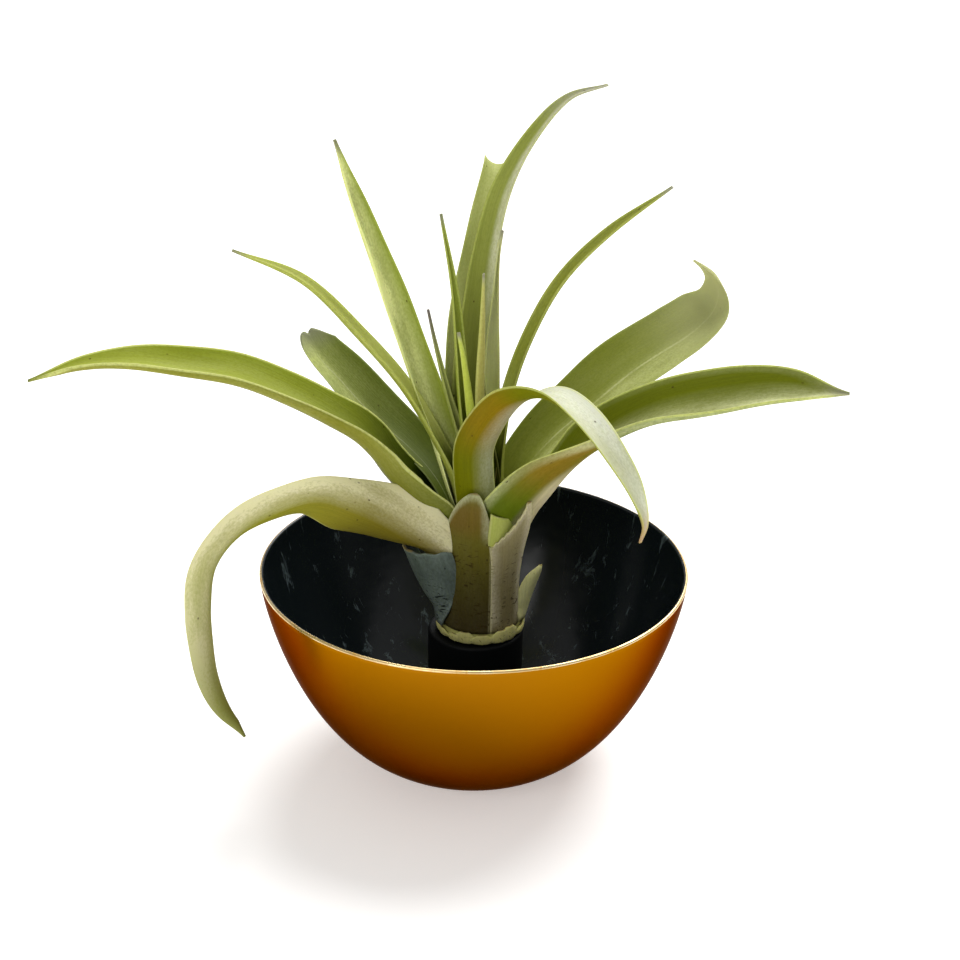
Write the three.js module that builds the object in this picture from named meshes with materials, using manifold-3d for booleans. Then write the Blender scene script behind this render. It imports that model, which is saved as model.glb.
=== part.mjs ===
// An air plant on a black stand inside a metal bowl. Millimetres, +Z up, -Y towards the viewer.
// The origin is the centre of the bowl's flat foot, on the surface that it stands on.
import * as THREE from "three";
import { mergeVertices } from "three/addons/utils/BufferGeometryUtils.js";
import Module from "manifold-3d";

const wasm = await Module();
wasm.setup();

// Bowl: a spun metal shell with a flat foot
const RIM_RADIUS = 60;
const BOWL_HEIGHT = 59;
const BOWL_WALL = 1.2;
const BOWL_FULL_DEPTH = 61.5;
const BOWL_DEPTH_POWER = 1.35;
const BOWL_ROUNDNESS = 2.93;
const BOWL_STEPS = 9;
const BOWL_SIDES = 56;

// Black stand that lifts the plant to the height of the rim
const STAND_X = 0.7;
const STAND_RADIUS = 13.5;
const STAND_TOP = 39.5;
const STAND_CHAMFER = 1;
const SOCKET_RADIUS = 7.5;
const SOCKET_DEPTH = 3;

// Short stem of the plant, with the disc of old growth that its leaves stand on
const PLANT_X = 2;
const CLEARANCE = 0.3;
const STEM_ROOT_RADIUS = 5.5;
const STEM_RADIUS = 6.6;
const STEM_SHOULDER = 74;
const STEM_TOP = 80;
const DISC_RADIUS = 11.8;
const DISC_THICKNESS = 3;
const DISC_BEVEL = 1;
const DISC_TOP = STAND_TOP + CLEARANCE + DISC_THICKNESS;
const STEM_SIDES = 32;
const DOME_STEPS = 5;

// The leaf bases wrap the stem in layers, one blade apart, with room for the flats of their facets
const SHEATH_THICKNESS = 0.8;
const EDGE_THICKNESS = 0.6;
const FACET_ROOM = 0.2;
const LAYER_STEP = SHEATH_THICKNESS + CLEARANCE + FACET_ROOM;
const SHEATH_FOOT = DISC_TOP + CLEARANCE;
const layer = (number) => STEM_RADIUS + CLEARANCE + number * LAYER_STEP;
const INNER = layer(0);
const SECOND = layer(1);
const THIRD = layer(2);
const OUTER = layer(3);
const OUTERMOST = layer(4);

// Blades are split into rings along the spine, and into strips from edge to edge
const RINGS_PER_SPAN = 2;
const LENGTH_SAMPLES = 6;
const WIDEST_STRIPS = 8;
const BROAD_STRIPS = 4;
const NARROW_STRIPS = 2;
const BROAD_WIDTH = 22;
const NARROW_WIDTH = 8;

// A sheath starts to open before the share of its length where it lets go, and is free after it
const OPENS_FROM = 0.6;
const OPEN_BY = 1.2;

// A blade narrower than this on either side of its middle has less of a ridge
const RIDGED_HALF_WIDTH = 1.5;

// Neighbours are cut back by a little less than the clearance, so that faces meant to be apart stay whole
const CUT_ROOM = CLEARANCE - 0.05;
const MERGE_DISTANCE = 1e-4;
const LEAST_RADIUS = 0.05;
const SHARE_SLACK = 1e-9;

const LEAF_GREEN = 0x8fa23c;
const YOUNG_GREEN = 0x9fb04a;
const SILVER_GREEN = 0xaab07c;
const STUB_TAN = 0x8c7a4c;
const DRY_GREY = 0x6f7d80;

// Each leaf has a heading in degrees about +Z, and a spine of [reach, height, drift to its left].
// Widths, folds (half the angle of the channel, in degrees) and rolls are evenly spaced from base to tip.
// hug is where along its length the sheath lets go of the stem. end is how much of the length of a cut or
// torn blade each line along it reaches, from one edge (-1) to the other (1). Those that are listed first
// are cut by none of the later ones.
const LEAVES = [
  { name: "leaf_young_center", heading: 275, color: YOUNG_GREEN, hug: 0, ridge: 1,
    spine: [[2, 77], [2, 92], [3, 112, -1], [5, 134, -1], [6, 147, -1]],
    widths: [5, 5, 4.5, 3.6, 2, 0.8], folds: [60, 60, 60, 60], rolls: [60, 70, 70] },
  { name: "leaf_young_front", heading: 250, color: YOUNG_GREEN, hug: 0, ridge: 1,
    spine: [[3, 76], [4, 90], [6, 112, -2], [8, 124, -3], [9, 131, -4]],
    widths: [3.4, 3.2, 2.8, 2.2, 1.4, 0.8], folds: [60, 60, 60], rolls: [30, 30, 30] },
  { name: "leaf_needle", heading: 190, color: YOUNG_GREEN, hug: 0, ridge: 1,
    spine: [[3, 76], [4, 92, -1], [6, 114, -1], [8, 139], [12, 162, 1]],
    widths: [6.5, 6, 5, 3.4, 1.8, 0.8], folds: [60, 60, 60], rolls: [-40, -50, -60] },
  { name: "leaf_pale_back", heading: 70, color: SILVER_GREEN, hug: 0, ridge: 1,
    spine: [[3, 76], [5, 92, -1], [8, 108, 0], [10, 128, 1], [12, 145, 1], [13, 153, 0]],
    widths: [5, 5, 4.5, 4, 2.5, 0.8], folds: [60, 60, 60], rolls: [0, 0, 0] },
  { name: "leaf_young_left", heading: 150, color: YOUNG_GREEN, hug: 0, ridge: 1,
    spine: [[4, 76], [6, 92], [11, 110, 1], [15, 124, 1], [17, 132, 1]],
    widths: [4, 4, 3, 2.2, 1.2, 0.8], folds: [60, 60, 60], rolls: [0, 0, 0] },
  { name: "leaf_tallest", heading: 62, color: LEAF_GREEN, hug: 0, ridge: 1.2,
    spine: [[5, 75], [5, 92, 3], [5, 112, 6], [8, 130, 6], [12, 146, 6], [19, 162, 5.2], [30, 176, 1.2],
      [40, 184, -3.6], [49, 186.5, -11]],
    widths: [12, 12, 11, 9.2, 7.4, 5.6, 3.4, 0.8], folds: [45, 42, 40, 40], rolls: [0, 0, 0] },
  { name: "leaf_tall_back", heading: 105, color: LEAF_GREEN, hug: 0, ridge: 1.2,
    spine: [[7, 74], [10, 94, 3], [14, 117, 2.5], [18, 137, -1], [24, 150, -5], [31, 159, -9],
      [38, 163, -12], [46, 161, -14], [54, 153, -15], [61, 142, -16]],
    widths: [11, 11, 11, 10.5, 9, 7, 4.5, 0.8], folds: [45, 42, 40, 40], rolls: [0, 0, 0] },
  { name: "leaf_tall_left", heading: 165, color: LEAF_GREEN, hug: 0, ridge: 1.2,
    spine: [[5, 75], [9, 88, 1], [16, 108, 0], [25, 132, -1], [34, 155, -2], [42, 177, -2]],
    widths: [12, 11.3, 10.7, 10, 8.2, 5.3, 0.8], folds: [70, 70, 68, 68], rolls: [-30, -35, -40] },
  { name: "leaf_thin_right", heading: 22, color: LEAF_GREEN, hug: 0, ridge: 1,
    spine: [[5, 75], [5, 92], [7.5, 110], [13, 125.5], [22, 140.5], [34.5, 152.5, -1], [53, 164, -2]],
    widths: [6, 5, 4.4, 4, 3.6, 2.7, 0.8], folds: [55, 55, 55], rolls: [20, 20, 20] },
  { name: "leaf_thin_left", heading: 185, color: LEAF_GREEN, hug: 0, ridge: 1,
    spine: [[6, 75], [8, 86], [14, 100], [22, 114], [33, 128], [48, 144], [66, 152, -1]],
    widths: [8, 7, 6.5, 6, 5, 3.2, 0.8], folds: [60, 60, 60], rolls: [-15, -15, -15] },
  { name: "leaf_arched_front", heading: 268, color: SILVER_GREEN, hug: 0.5, ridge: 1.2,
    spine: [[INNER, SHEATH_FOOT], [INNER, 64], [INNER, 78, -1], [8, 88, -2], [9, 98, -2], [11, 106, 1],
      [15, 114, 6], [22, 120, 13], [29, 122, 20], [35.5, 119, 27], [41, 112, 34], [43.5, 103, 40],
      [44, 94, 43], [44, 89, 42]],
    widths: [11, 11, 11, 11, 10, 10, 9.5, 6.5, 0.8], folds: [40, 40, 40, 40],
    rolls: [0, 0, 0, 8, 40, 48, 48] },
  { name: "leaf_broad_right", heading: 38, color: LEAF_GREEN, hug: 0.24, ridge: 1.3,
    spine: [[INNER, SHEATH_FOOT], [INNER, 62], [9, 73, 1], [14, 83, 2], [24, 92, 1.5], [37, 100], [51, 106.5],
      [62, 110], [71, 112.4], [78.3, 115.2], [83.3, 118.6], [85, 122.2], [83.8, 126.8], [80.5, 130.4],
      [76, 133.7]],
    widths: [12, 12.5, 13, 14, 15, 16.5, 18, 19, 20, 20, 19.5, 19, 15.5, 4.2, 0.8],
    folds: [30, 24, 24, 24, 35], rolls: [0, 5, 20, 25, 20] },
  { name: "leaf_broad_left", heading: 145, color: SILVER_GREEN, hug: 0.3, ridge: 1.3,
    spine: [[INNER, SHEATH_FOOT], [INNER, 62], [9, 73, -0.5], [15, 81, -1.5], [26, 88, -3], [38, 95, -2.5],
      [49, 104, -1], [56, 109.5], [62.1, 115.7]],
    widths: [13, 13, 11.5, 11, 12, 15.5, 16, 14.5, 11], folds: [35, 30, 28, 28], rolls: [0, -10, -15, -15],
    end: (v) => 1 - 0.06 * v * v },
  { name: "leaf_low_back", heading: 93, color: LEAF_GREEN, hug: 0.25, ridge: 1.2,
    spine: [[THIRD, SHEATH_FOOT], [THIRD, 60], [12, 72], [18, 82], [28, 90], [42, 91], [57, 84],
      [68, 70], [74, 54]],
    widths: [12, 14, 15, 14, 12, 9, 5, 0.8], folds: [40, 40, 40, 45], rolls: [0, 0, 0] },
  { name: "stub_cut", heading: 303, color: YOUNG_GREEN, hug: 1, ridge: 0.8,
    spine: [[THIRD, SHEATH_FOOT], [THIRD, 58], [10.2, 66], [11.4, 73], [12.6, 81]],
    widths: [8.4, 8.4, 8.4, 9, 9], folds: [30, 30], rolls: [0, 0],
    end: (v) => 0.94 - 0.03 * v + 0.015 * v * v },
  { name: "stub_torn", heading: 311, color: STUB_TAN, hug: 1, ridge: 0.8,
    spine: [[OUTER, SHEATH_FOOT], [OUTER, 58], [11.6, 66], [13.6, 74, -1.2], [16.4, 84.5, -4.2]],
    widths: [9.8, 9.8, 10.4, 11.5, 12], folds: [30, 30], rolls: [0, -5, -35],
    end: (v) => 1 - 0.36 * (Math.max(0, 0.8 - v) / 1.8) ** 0.65 },
  { name: "stub_front", heading: 238.5, color: STUB_TAN, hug: 1, ridge: 0.8,
    spine: [[OUTER, SHEATH_FOOT], [OUTER, 58], [OUTER, 70], [10.8, 78], [10.2, 86]],
    widths: [16.6, 16.8, 16.8, 16.8, 16], folds: [40, 40], rolls: [0, 0],
    end: (v) => 1 - 0.55 * (Math.max(0, 0.5 - v) / 1.5) ** 2 - 0.85 * Math.max(0, v - 0.5) ** 2 },
  { name: "leaf_long_left", heading: 185, color: LEAF_GREEN, hug: 0.23, ridge: 1.2,
    spine: [[SECOND, SHEATH_FOOT], [SECOND, 60], [10.8, 67, -1.5], [15.5, 75, -2], [21.5, 82.5, -0.5],
      [26.5, 89], [30, 94.5], [34.5, 99.5], [41, 104], [52, 110.5], [66, 117], [80, 120], [94, 122],
      [108, 121], [121, 117]],
    widths: [20, 20, 25, 25, 19.5, 17, 15, 12, 6.5, 0.8], folds: [75, 78, 62, 55, 48, 45, 45],
    rolls: [0, 6, 4, -6, -14, -20, -20, -20] },
  { name: "leaf_long_right", heading: 346, color: LEAF_GREEN, hug: 0.26, ridge: 1.2,
    spine: [[SECOND, SHEATH_FOOT], [SECOND, 62], [10.4, 68], [13.6, 76.5, -2], [18, 84, -4],
      [24.5, 93, -3.5], [33.5, 102.5, -2], [46.5, 111, -0.5], [62.5, 116.5, 0.7], [80, 120, 3],
      [97, 120, 4.6]],
    widths: [22, 25, 30, 31, 28, 21, 17.5, 16.5, 15, 10.5, 0.8], folds: [75, 82, 84, 72, 58, 48, 42, 40, 40],
    rolls: [0, -8, -20, -16, 12, 26, 36, 38, 38] },
  { name: "leaf_drooping_left", heading: 207, color: SILVER_GREEN, hug: 0.17, ridge: 1.3,
    spine: [[THIRD, SHEATH_FOOT], [THIRD, 56], [11.5, 62, -1], [15.5, 67, -2.5], [22.5, 72, -3.5],
      [29, 77, -3], [38, 83, -1], [50, 89], [62, 88], [72, 84], [79, 76], [81, 65], [81, 54], [80, 43],
      [77, 32], [72, 22]],
    widths: [15, 17, 25.5, 18.5, 12, 14, 17.5, 16, 10.5, 0.8], folds: [60, 60, 55, 50, 60, 80, 90, 85],
    rolls: [0, 10, 50, 80, 60, 30, 14, 12, 12] },
  { name: "stub_right", heading: 2, color: YOUNG_GREEN, hug: 0.2, ridge: 0.8,
    spine: [[OUTERMOST, SHEATH_FOOT], [12.8, 46], [13.8, 50], [14.8, 53.5], [15.8, 56.5], [16.8, 59]],
    widths: [10, 12, 13, 11, 7, 0.8], folds: [40, 45], rolls: [-10, -40] },
  { name: "sheath_dry", heading: 190, color: DRY_GREY, hug: 0.3, ridge: 0.8,
    spine: [[OUTERMOST, SHEATH_FOOT], [12.6, 47], [15.2, 52, 1], [17.3, 57.5, 2], [19, 62.5, 2.5],
      [20.6, 66.5, 2.3]],
    widths: [9, 14, 20, 23, 25, 25], folds: [60, 65, 70, 75], rolls: [0, 15, 25, 25],
    end: (v) => 1 - 0.12 * Math.max(0, v) },
];

function smoothList(list, share) {
  return new THREE.SplineCurve(list.map((value, i) => new THREE.Vector2(i, value))).getPoint(share).y;
}

// Rings along the spine: where each one is, how it is turned, and how wide, bent and thick the blade is there
function bladeRings(leaf) {
  const heading = THREE.MathUtils.degToRad(leaf.heading);
  const out = new THREE.Vector3(Math.cos(heading), Math.sin(heading), 0);
  const across = new THREE.Vector3(-out.y, out.x, 0);
  const spine = new THREE.CatmullRomCurve3(leaf.spine.map(([reach, height, drift = 0]) =>
    new THREE.Vector3(PLANT_X, 0, height).addScaledVector(out, reach).addScaledVector(across, drift)),
  false, "centripetal");
  const steps = (leaf.spine.length - 1) * RINGS_PER_SPAN;
  const lengths = spine.getLengths(steps * LENGTH_SAMPLES);
  const rings = [];
  for (let i = 0; i <= steps; i++) {
    const share = lengths[i * LENGTH_SAMPLES] / lengths[steps * LENGTH_SAMPLES];
    const centre = spine.getPoint(i / steps);
    const tangent = spine.getTangent(i / steps);
    across.addScaledVector(tangent, -across.dot(tangent)).normalize();
    const roll = THREE.MathUtils.degToRad(smoothList(leaf.rolls, share));
    const inward = new THREE.Vector3().crossVectors(tangent, across);
    const side = across.clone().multiplyScalar(Math.cos(roll)).addScaledVector(inward, Math.sin(roll));
    const up = inward.multiplyScalar(Math.cos(roll)).addScaledVector(across, -Math.sin(roll));
    const halfWidth = Math.max(smoothList(leaf.widths, share), EDGE_THICKNESS) / 2;
    const opened = leaf.hug === 0 ? 1
      : THREE.MathUtils.smoothstep(share, leaf.hug * OPENS_FROM, leaf.hug * OPEN_BY);
    const free = THREE.MathUtils.degToRad(smoothList(leaf.folds, share)) / halfWidth;
    const bend = THREE.MathUtils.lerp(1 / leaf.spine[0][0], free, opened);
    const rim = THREE.MathUtils.lerp(SHEATH_THICKNESS, EDGE_THICKNESS, opened);
    const ridge = THREE.MathUtils.lerp(SHEATH_THICKNESS, leaf.ridge, opened);
    const swell = (ridge - rim) * Math.min(1, halfWidth / RIDGED_HALF_WIDTH);
    rings.push({ share, centre, tangent, side, up, halfWidth, bend, rim, swell });
  }
  return rings;
}

// The ring at a share of the length, between its two neighbours
function ringAt(rings, share) {
  const next = Math.max(1, rings.findIndex((ring) => ring.share >= share - SHARE_SLACK));
  const low = rings[next - 1];
  const high = rings[next];
  const weight = (share - low.share) / (high.share - low.share);
  const ring = {};
  for (const key of ["centre", "tangent", "side", "up"]) ring[key] = low[key].clone().lerp(high[key], weight);
  for (const key of ["halfWidth", "bend", "rim", "swell"]) {
    ring[key] = THREE.MathUtils.lerp(low[key], high[key], weight);
  }
  return ring;
}

// Closed blade: a channel swept along the spine, thick along the middle and thin at its edges.
// grow makes it larger all round, for cutting room in a neighbour.
function bladeGeometry(leaf, grow = 0) {
  const rings = bladeRings(leaf);
  const steps = rings.length - 1;
  const widest = Math.max(...leaf.widths);
  const broadStrips = widest > BROAD_WIDTH ? WIDEST_STRIPS : BROAD_STRIPS;
  const strips = widest > NARROW_WIDTH ? broadStrips : NARROW_STRIPS;
  const positions = [];
  const index = [];
  const ringSize = 2 * (strips + 1);
  for (let i = 0; i <= steps; i++) {
    const top = [];
    const bottom = [];
    for (let j = 0; j <= strips; j++) {
      const v = 2 * j / strips - 1;
      const missing = leaf.end ? 1 - leaf.end(v) : 0;
      const share = rings[i].share * (1 - rings[i].share ** 2 * missing);
      const { centre, tangent, side, up, halfWidth, bend, rim, swell } = ringAt(rings, share);
      if (i === 0) centre.addScaledVector(tangent, -grow);
      if (i === steps) centre.addScaledVector(tangent, grow);
      const radius = 1 / bend;
      const angle = v * halfWidth * bend;
      const outward = side.clone().multiplyScalar(Math.sin(angle)).addScaledVector(up, -Math.cos(angle));
      const onward = side.clone().multiplyScalar(Math.cos(angle)).addScaledVector(up, Math.sin(angle));
      const hub = centre.clone().addScaledVector(up, radius).addScaledVector(onward, Math.trunc(v) * grow);
      const thickness = rim + swell * (1 - v * v);
      top.push(hub.clone().addScaledVector(outward, Math.max(radius - grow, LEAST_RADIUS)));
      bottom.unshift(hub.clone().addScaledVector(outward, radius + thickness + grow));
    }
    for (const point of [...top, ...bottom]) positions.push(point.x, point.y, point.z);
  }
  for (let i = 0; i < steps; i++) {
    for (let k = 0; k < ringSize; k++) {
      const a = i * ringSize + k;
      const b = i * ringSize + (k + 1) % ringSize;
      const c = b + ringSize;
      const d = a + ringSize;
      if (k < strips) index.push(a, c, b, a, d, c);
      else index.push(a, d, b, b, d, c);
    }
  }
  const last = steps * ringSize;
  for (let j = 0; j < strips; j++) {
    const under = ringSize - 1 - j;
    index.push(j, j + 1, under - 1, j, under - 1, under);
    index.push(last + j, last + under - 1, last + j + 1, last + j, last + under, last + under - 1);
  }
  const geometry = new THREE.BufferGeometry();
  geometry.setAttribute("position", new THREE.Float32BufferAttribute(positions, 3));
  geometry.setIndex(index);
  return geometry;
}

function toSolid(geometry) {
  const bare = geometry.clone();
  bare.deleteAttribute("normal");
  bare.deleteAttribute("uv");
  const merged = mergeVertices(bare, MERGE_DISTANCE);
  return new wasm.Manifold(new wasm.Mesh({
    numProp: 3,
    vertProperties: new Float32Array(merged.attributes.position.array),
    triVerts: new Uint32Array(merged.index.array),
  }));
}

function toGeometry(solid) {
  const mesh = solid.getMesh();
  const geometry = new THREE.BufferGeometry();
  geometry.setAttribute("position", new THREE.BufferAttribute(new Float32Array(mesh.vertProperties), 3));
  geometry.setIndex(new THREE.BufferAttribute(new Uint32Array(mesh.triVerts), 1));
  geometry.computeVertexNormals();
  return geometry;
}

function largestPiece(solid) {
  return solid.decompose().sort((one, other) => other.volume() - one.volume())[0];
}

// Turned solid about +Z from a profile of [radius, height] points
function turned(profile, sides) {
  const geometry = new THREE.LatheGeometry(profile.map(([r, z]) => new THREE.Vector2(r, z)), sides);
  geometry.rotateX(Math.PI / 2);
  return geometry;
}

function bowlProfile() {
  const outside = [];
  for (let i = 0; i <= BOWL_STEPS; i++) {
    const depth = BOWL_HEIGHT * Math.sin(Math.PI / 2 * (1 - i / BOWL_STEPS));
    const reach = (1 - (depth / BOWL_FULL_DEPTH) ** BOWL_DEPTH_POWER) ** (1 / BOWL_ROUNDNESS);
    outside.push(new THREE.Vector2(RIM_RADIUS * reach, BOWL_HEIGHT - depth));
  }
  const inside = [];
  for (let i = 1; i < outside.length; i++) {
    const run = outside[i].clone().sub(outside[i - 1]).normalize();
    inside.unshift(new THREE.Vector2(outside[i].x - run.y * BOWL_WALL, outside[i].y + run.x * BOWL_WALL));
  }
  inside[0].y = BOWL_HEIGHT;
  const floor = [outside[0].x - BOWL_WALL, BOWL_WALL];
  return [[0, 0], ...outside.map((p) => [p.x, p.y]), ...inside.map((p) => [p.x, p.y]), floor, [0, BOWL_WALL]];
}

const group = new THREE.Group();

function addPart(name, geometry, color, roughness, metalness) {
  const material = new THREE.MeshStandardMaterial({ color, roughness, metalness });
  const mesh = new THREE.Mesh(geometry, material);
  mesh.name = name;
  group.add(mesh);
  return mesh;
}

addPart("bowl", turned(bowlProfile(), BOWL_SIDES), 0xa8651a, 0.35, 1);

const standFoot = BOWL_WALL + CLEARANCE;
addPart("stand", turned([
  [0, standFoot],
  [STAND_RADIUS, standFoot],
  [STAND_RADIUS, STAND_TOP - STAND_CHAMFER],
  [STAND_RADIUS - STAND_CHAMFER, STAND_TOP],
  [SOCKET_RADIUS, STAND_TOP],
  [SOCKET_RADIUS, STAND_TOP - SOCKET_DEPTH],
  [0, STAND_TOP - SOCKET_DEPTH],
], STEM_SIDES), 0x0b0c0d, 0.4, 0).position.x = STAND_X;

function stemProfile(grow) {
  const foot = STAND_TOP - SOCKET_DEPTH + CLEARANCE - grow;
  const root = STEM_ROOT_RADIUS + grow;
  const rise = STEM_TOP - STEM_SHOULDER + grow;
  const dome = [];
  for (let i = 0; i < DOME_STEPS; i++) {
    const angle = Math.PI / 2 * i / DOME_STEPS;
    dome.push([(STEM_RADIUS + grow) * Math.cos(angle), STEM_SHOULDER + rise * Math.sin(angle)]);
  }
  return [
    [0, foot],
    [root, foot],
    [root, STAND_TOP + CLEARANCE - grow],
    [DISC_RADIUS - DISC_BEVEL + grow, STAND_TOP + CLEARANCE - grow],
    [DISC_RADIUS + grow, DISC_TOP - DISC_BEVEL],
    [DISC_RADIUS - DISC_BEVEL / 2 + grow, DISC_TOP + grow],
    [STEM_RADIUS + grow, DISC_TOP + grow],
    ...dome,
    [0, STEM_TOP + grow],
  ];
}

const stem = addPart("stem", turned(stemProfile(0), STEM_SIDES), 0x7f7440, 0.8, 0);
stem.position.x = PLANT_X;

// Leaves are cut clear of the stem and of every leaf nearer the middle
let taken = toSolid(turned(stemProfile(CUT_ROOM), STEM_SIDES).translate(PLANT_X, 0, 0));
for (const leaf of LEAVES) {
  const solid = largestPiece(toSolid(bladeGeometry(leaf)).subtract(taken));
  taken = taken.add(toSolid(bladeGeometry(leaf, CUT_ROOM)));
  addPart(leaf.name, toGeometry(solid), leaf.color, 0.65, 0);
}

export default group;
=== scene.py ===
# An air plant on a black stand inside a metal bowl, dressed around the fixed frame. Metres, +Z up.
import math
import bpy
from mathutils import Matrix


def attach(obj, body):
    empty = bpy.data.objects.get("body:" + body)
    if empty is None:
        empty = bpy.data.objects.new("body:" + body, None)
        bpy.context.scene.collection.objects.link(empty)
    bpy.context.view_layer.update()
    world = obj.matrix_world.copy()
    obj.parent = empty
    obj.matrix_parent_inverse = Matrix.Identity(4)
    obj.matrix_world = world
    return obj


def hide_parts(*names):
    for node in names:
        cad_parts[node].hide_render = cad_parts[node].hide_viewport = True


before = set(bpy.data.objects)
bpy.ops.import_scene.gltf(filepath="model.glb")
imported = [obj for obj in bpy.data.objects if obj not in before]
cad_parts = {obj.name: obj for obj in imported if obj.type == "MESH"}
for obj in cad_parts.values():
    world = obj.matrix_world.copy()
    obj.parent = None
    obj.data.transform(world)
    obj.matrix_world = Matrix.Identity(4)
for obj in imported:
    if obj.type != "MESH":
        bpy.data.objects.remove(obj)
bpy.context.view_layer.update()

import zlib

import bpy
import numpy as np
from mathutils import Matrix, Vector

MM = 0.001

# Table: a wide pale sheet that the bowl stands on. Soft light comes from a large window above and
# behind, with a weaker lamp in front, and the camera looks down at the height of a person at the table.
TABLE_SIZE = 8.0
TABLE_PALE = "F7F6F4"
TABLE_PALER = "FBFBFA"
TABLE_GLOW = 0.35
CAMERA_PITCH = math.radians(24.57)
CAMERA_ROLL = math.radians(0.8)
CAMERA_TARGET = Vector((1.4, 0, 85.17)) * MM
CAMERA_DISTANCE = 0.56
CAMERA_LENS = 76.2
WINDOW_FROM = Vector((0.30, 0.62, 1.0))
WINDOW_SPREAD = math.radians(50)
WINDOW_STRENGTH = 3.6
LAMP_FROM = Vector((-0.5, -0.9, 0.55))
LAMP_WIDTH = 0.5
LAMP_WATTS = 3.0
SKY_STRENGTH = 0.4
SKY_IN_REFLECTIONS = 0.5


def srgb(text):
    """A colour written as six hex digits, as the linear RGBA that a shader takes."""
    parts = [int(text[i:i + 2], 16) / 255 for i in (0, 2, 4)]
    return tuple(p / 12.92 if p <= 0.04045 else ((p + 0.055) / 1.055) ** 2.4 for p in parts) + (1.0,)


def add_node(tree, kind, inputs=None, **settings):
    """A node with its settings made and its inputs either linked or set to a value."""
    node = tree.nodes.new(kind)
    for key, value in settings.items():
        setattr(node, key, value)
    for key, value in (inputs or {}).items():
        if isinstance(value, bpy.types.NodeSocket):
            tree.links.new(value, node.inputs[key])
        else:
            node.inputs[key].default_value = value
    return node


def new_material(name, **shader):
    """A material with one Principled shader, whose sockets are set here and linked by the caller."""
    material = bpy.data.materials.new(name)
    material.use_nodes = True
    tree = material.node_tree
    principled = tree.nodes["Principled BSDF"]
    for key, value in shader.items():
        principled.inputs[key.replace("_", " ")].default_value = value
    return material, tree, principled


def link_looks(tree, principled, **looks):
    """Links what varies over the surface to the shader's sockets of these names."""
    for key, output in looks.items():
        tree.links.new(output, principled.inputs[key.replace("_", " ")])


def mix_colours(tree, factor, first, second):
    """The first colour where the factor is 0, and the second where it is 1."""
    return add_node(tree, "ShaderNodeMix", {"Factor": factor, "A": first, "B": second},
                    data_type="RGBA").outputs["Result"]


def map_value(tree, value, low=0.0, high=1.0, start=0.0, stop=1.0, **settings):
    """A value that goes from start to stop while the given one goes from low to high."""
    return add_node(tree, "ShaderNodeMapRange", {"Value": value, "From Min": low, "From Max": high,
                                                 "To Min": start, "To Max": stop},
                    **settings).outputs["Result"]


def add_noise(tree, scale=1.0, **inputs):
    """Cloudy noise between 0 and 1, whose inputs may include the Vector that it follows."""
    return add_node(tree, "ShaderNodeTexNoise", {"Scale": scale} | inputs).outputs["Fac"]


def table_paint():
    material, tree, shader = new_material("table_paint", Roughness=0.7, Emission_Strength=TABLE_GLOW,
                                          Emission_Color=(1, 1, 1, 1))
    tone = add_noise(tree, 3.0)
    link_looks(tree, shader, Base_Color=mix_colours(tree, tone, srgb(TABLE_PALE), srgb(TABLE_PALER)))
    return material


def aim(obj, place, target):
    obj.location = place
    obj.rotation_euler = (Vector(target) - Vector(place)).to_track_quat("-Z", "Y").to_euler()


bpy.ops.mesh.primitive_plane_add(size=TABLE_SIZE)
table = bpy.context.object
table.name = "table_top"
table.data.materials.append(table_paint())

window_data = bpy.data.lights.new("window_light", "SUN")
window_data.energy = WINDOW_STRENGTH
window_data.angle = WINDOW_SPREAD
lamp_data = bpy.data.lights.new("front_lamp", "AREA")
lamp_data.size = LAMP_WIDTH
lamp_data.energy = LAMP_WATTS
for light_data, place in ((window_data, WINDOW_FROM), (lamp_data, LAMP_FROM)):
    light = bpy.data.objects.new(light_data.name, light_data)
    bpy.context.collection.objects.link(light)
    aim(light, place, CAMERA_TARGET)

world = bpy.data.worlds.new("studio")
world.use_nodes = True
sky = world.node_tree.nodes["Background"]
sky.inputs["Color"].default_value = (1, 1, 1, 1)
glossy = add_node(world.node_tree, "ShaderNodeLightPath").outputs["Is Glossy Ray"]
sky_strength = map_value(world.node_tree, glossy, start=SKY_STRENGTH, stop=SKY_IN_REFLECTIONS)
world.node_tree.links.new(sky_strength, sky.inputs["Strength"])
bpy.context.scene.world = world
bpy.context.scene.view_settings.view_transform = "Standard"

camera_data = bpy.data.cameras.new("camera")
camera_data.lens = CAMERA_LENS
camera = bpy.data.objects.new("camera", camera_data)
bpy.context.collection.objects.link(camera)
forward = Vector((0, math.cos(CAMERA_PITCH), -math.sin(CAMERA_PITCH)))
level_right = Vector((1, 0, 0))
level_up = level_right.cross(forward)
right = math.cos(CAMERA_ROLL) * level_right + math.sin(CAMERA_ROLL) * level_up
above = math.cos(CAMERA_ROLL) * level_up - math.sin(CAMERA_ROLL) * level_right
camera.matrix_world = Matrix.Translation(CAMERA_TARGET - forward * CAMERA_DISTANCE) @ Matrix(
    (right, above, -forward)).transposed().to_4x4()
bpy.context.scene.camera = camera

# Bowl: one sheet of metal, spun on a lathe to a round body with a flat foot. Its outside is lacquered
# to a satin orange gold, its inside is black enamel, and the cut edge of the rim is left bright.
RIM_RADIUS = 60 * MM
BOWL_HEIGHT = 59 * MM
BOWL_WALL = 1.2 * MM
BOWL_FULL_DEPTH = 61.5 * MM
BOWL_DEPTH_POWER = 1.35
BOWL_ROUNDNESS = 2.93
BOWL_RINGS = 48
BOWL_SIDES = 224
RIM_STEPS = 6
RIM_WOBBLE = 0.12 * MM
RIM_BAND = 8 * MM
OUTSIDE, INSIDE, BRIGHT = 0, 1, 2
GOLD = "9A6408"
GOLD_SHADED_FOOT = "845206"
GOLD_GLINT = "5E400E"
ENAMEL = "12181A"
ENAMEL_REFLECTION_STREAK = "76868A"
RIM_METAL = "EBD6A6"
RIM_WORN = "C79C52"


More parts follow.
